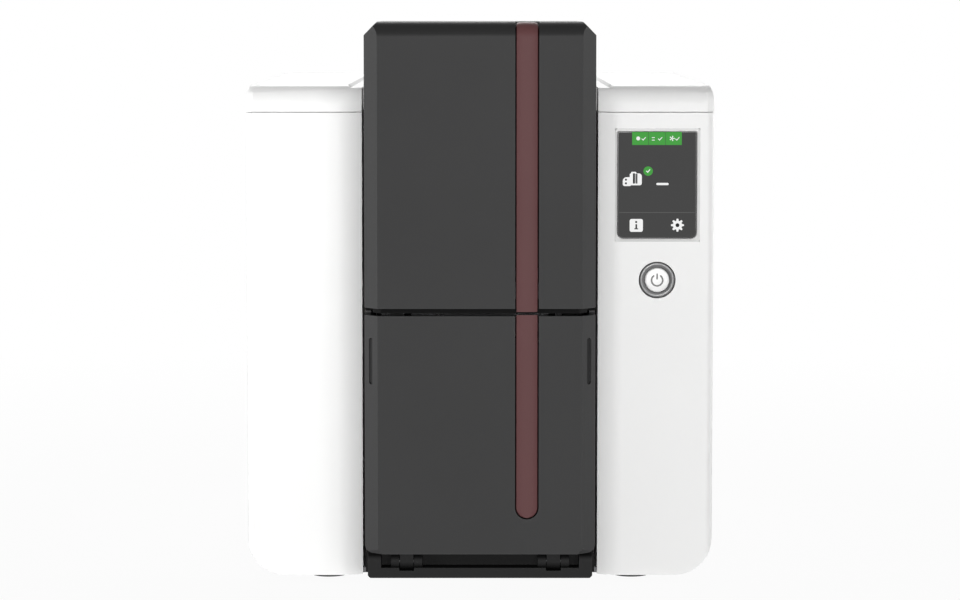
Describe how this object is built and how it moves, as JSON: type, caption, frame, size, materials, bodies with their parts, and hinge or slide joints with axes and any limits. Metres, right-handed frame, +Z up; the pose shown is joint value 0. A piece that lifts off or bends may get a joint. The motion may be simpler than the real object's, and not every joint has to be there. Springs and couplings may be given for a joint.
{
  "type": "id card printer",
  "caption": "Desktop ID card printer with a white body, hinged top lid, protruding dark card tower with two hinged covers, red window strip, touch screen and power button.",
  "frame": {"origin": "on the table, under the middle of the whole outline", "axes": "+Z up, front with the card tower faces -Y, +X to the right seen from the front"},
  "size_m": [0.205, 0.381, 0.247],
  "materials": {
    "white_plastic": "satin white moulded shell",
    "light_panel": "fine-grained white rear moulding",
    "cover_plastic": "fine-grained dark grey moulding",
    "tower_plastic": "fine-grained near-black moulding",
    "inner_plastic": "plain black moulding",
    "red_window": "smoked red translucent plastic",
    "pan_steel": "dark powder-coated sheet",
    "feet_rubber": "soft black rubber",
    "roller_rubber": "fine-ground rubber",
    "platen_rubber": "smooth hard rubber",
    "cleaning_blue": "tacky blue rubber",
    "frame_steel": "zinc-plated sheet steel",
    "bright_steel": "ground steel",
    "bush_bronze": "sintered bronze",
    "pulley_plastic": "natural acetal",
    "belt_rubber": "black toothed belt",
    "motor_metal": "laminated stack and cast caps",
    "head_aluminium": "extruded heat sink",
    "cassette_plastic": "dark grey moulding",
    "ribbon_roll": "wound dye film",
    "ribbon_film": "thin dye film",
    "weight_plastic": "dark grey moulding",
    "slider_plastic": "blue moulding",
    "board_green": "solder-masked laminate",
    "supply_metal": "folded plated sheet",
    "screen_glass": "dark display glass",
    "ring_plastic": "grey moulded ring",
    "button_plastic": "white moulded button"
  },
  "bodies": {
    "chassis": {"base_pan": "pan_steel", "rubber_feet": "feet_rubber", "left_casing": "white_plastic", "right_casing": "white_plastic", "rear_panel": "light_panel", "hinge_pins": "bright_steel", "hopper_base": "tower_plastic", "hopper_casing": "tower_plastic", "output_tray": "inner_plastic", "feeder_casing": "tower_plastic", "feeder_floor": "inner_plastic", "feed_belt": "belt_rubber", "feed_motor": "motor_metal", "frame_left": "frame_steel", "frame_right": "frame_steel", "frame_ties": "bright_steel", "card_bed": "inner_plastic", "shaft_bushes": "bush_bronze", "drive_belt": "belt_rubber", "drive_motor": "motor_metal", "ribbon_cassette": "cassette_plastic", "ribbon_film": "ribbon_film", "ribbon_motor": "motor_metal", "main_board": "board_green", "power_inlet": "inner_plastic", "power_supply": "supply_metal", "fan_housing": "inner_plastic", "touch_screen": "screen_glass", "button_ring": "ring_plastic", "screws": "bright_steel"},
    "lid": {"lid": "white_plastic", "lid_frame": "inner_plastic", "head_bracket": "frame_steel"},
    "print_head": {"print_head": "head_aluminium"},
    "upper_cover": {"upper_cover": "cover_plastic", "upper_window": "red_window"},
    "lower_cover": {"lower_cover": "cover_plastic", "lower_window": "red_window"},
    "card_weight": {"card_weight": "weight_plastic"},
    "thickness_slider": {"thickness_slider": "slider_plastic"},
    "feed_drive": {"feed_shaft": "bright_steel", "feed_roller": "roller_rubber", "feed_pulley": "pulley_plastic"},
    "feed_motor_pulley": {"feed_motor_pulley": "pulley_plastic"},
    "front_drive": {"front_shaft": "bright_steel", "front_roller": "roller_rubber", "front_pulley": "pulley_plastic"},
    "platen_drive": {"platen_shaft": "bright_steel", "platen_roller": "platen_rubber", "platen_pulley": "pulley_plastic"},
    "rear_drive": {"rear_shaft": "bright_steel", "rear_roller": "roller_rubber", "rear_pulley": "pulley_plastic"},
    "motor_pulley": {"motor_pulley": "pulley_plastic"},
    "cleaning_roller": {"cleaning_roller": "cleaning_blue"},
    "pinch_roller": {"pinch_roller": "roller_rubber"},
    "supply_spool": {"supply_spool": "ribbon_roll"},
    "takeup_spool": {"takeup_spool": "ribbon_roll"},
    "fan_rotor": {"fan_rotor": "inner_plastic"},
    "power_button": {"power_button": "button_plastic"}
  },
  "joints": [
    {"name": "lid_hinge", "type": "hinge", "parent": "chassis", "child": "lid", "pos_m": [0, 0.1805, 0.2092], "axis": [-1, 0, 0], "range_deg": [0, 80]},
    {"name": "head_lift", "type": "slide", "parent": "lid", "child": "print_head", "axis": [0, 0, 1], "range_m": [0, 0.003]},
    {"name": "upper_cover_hinge", "type": "hinge", "parent": "chassis", "child": "upper_cover", "pos_m": [0, -0.0955, 0.2405], "axis": [-1, 0, 0], "range_deg": [0, 75]},
    {"name": "lower_cover_hinge", "type": "hinge", "parent": "chassis", "child": "lower_cover", "pos_m": [0, -0.1802, 0.0209], "axis": [1, 0, 0], "range_deg": [0, 90]},
    {"name": "card_weight_slide", "type": "slide", "parent": "chassis", "child": "card_weight", "axis": [0, 0, 1], "range_m": [0, 0.07]},
    {"name": "thickness_slide", "type": "slide", "parent": "chassis", "child": "thickness_slider", "axis": [0, 0, 1], "range_m": [0, 0.002]},
    {"name": "feed_spin", "type": "hinge", "parent": "chassis", "child": "feed_drive", "pos_m": [0, -0.125, 0.1211], "axis": [1, 0, 0], "continuous": true},
    {"name": "feed_motor_spin", "type": "hinge", "parent": "chassis", "child": "feed_motor_pulley", "pos_m": [0, -0.068, 0.084], "axis": [1, 0, 0], "continuous": true},
    {"name": "platen_spin", "type": "hinge", "parent": "chassis", "child": "platen_drive", "pos_m": [0, 0.007, 0.1216], "axis": [1, 0, 0], "continuous": true},
    {"name": "front_spin", "type": "hinge", "parent": "chassis", "child": "front_drive", "pos_m": [0, -0.06, 0.1216], "axis": [1, 0, 0], "continuous": true},
    {"name": "rear_spin", "type": "hinge", "parent": "chassis", "child": "rear_drive", "pos_m": [0, 0.072, 0.1216], "axis": [1, 0, 0], "continuous": true},
    {"name": "drive_motor_spin", "type": "hinge", "parent": "chassis", "child": "motor_pulley", "pos_m": [0, 0.012, 0.062], "axis": [1, 0, 0], "continuous": true},
    {"name": "cleaning_spin", "type": "hinge", "parent": "chassis", "child": "cleaning_roller", "pos_m": [0, -0.06, 0.1385], "axis": [1, 0, 0], "continuous": true},
    {"name": "pinch_spin", "type": "hinge", "parent": "chassis", "child": "pinch_roller", "pos_m": [0, 0.072, 0.1385], "axis": [1, 0, 0], "continuous": true},
    {"name": "supply_spin", "type": "hinge", "parent": "chassis", "child": "supply_spool", "pos_m": [0, 0.05, 0.17], "axis": [1, 0, 0], "continuous": true},
    {"name": "takeup_spin", "type": "hinge", "parent": "chassis", "child": "takeup_spool", "pos_m": [0, -0.04, 0.17], "axis": [1, 0, 0], "continuous": true},
    {"name": "fan_spin", "type": "hinge", "parent": "chassis", "child": "fan_rotor", "pos_m": [0, 0.18, 0.06], "axis": [0, 1, 0], "continuous": true},
    {"name": "power_press", "type": "slide", "parent": "chassis", "child": "power_button", "axis": [0, 1, 0], "range_m": [0, 0.0008], "stiffness_N_per_m": 400, "springref_m": -0.0008}
  ],
  "couplings": [
    {"joint": "feed_motor_spin", "follows": "feed_spin", "ratio": 1},
    {"joint": "front_spin", "follows": "platen_spin", "ratio": 1},
    {"joint": "rear_spin", "follows": "platen_spin", "ratio": 1},
    {"joint": "drive_motor_spin", "follows": "platen_spin", "ratio": 1}
  ]
}
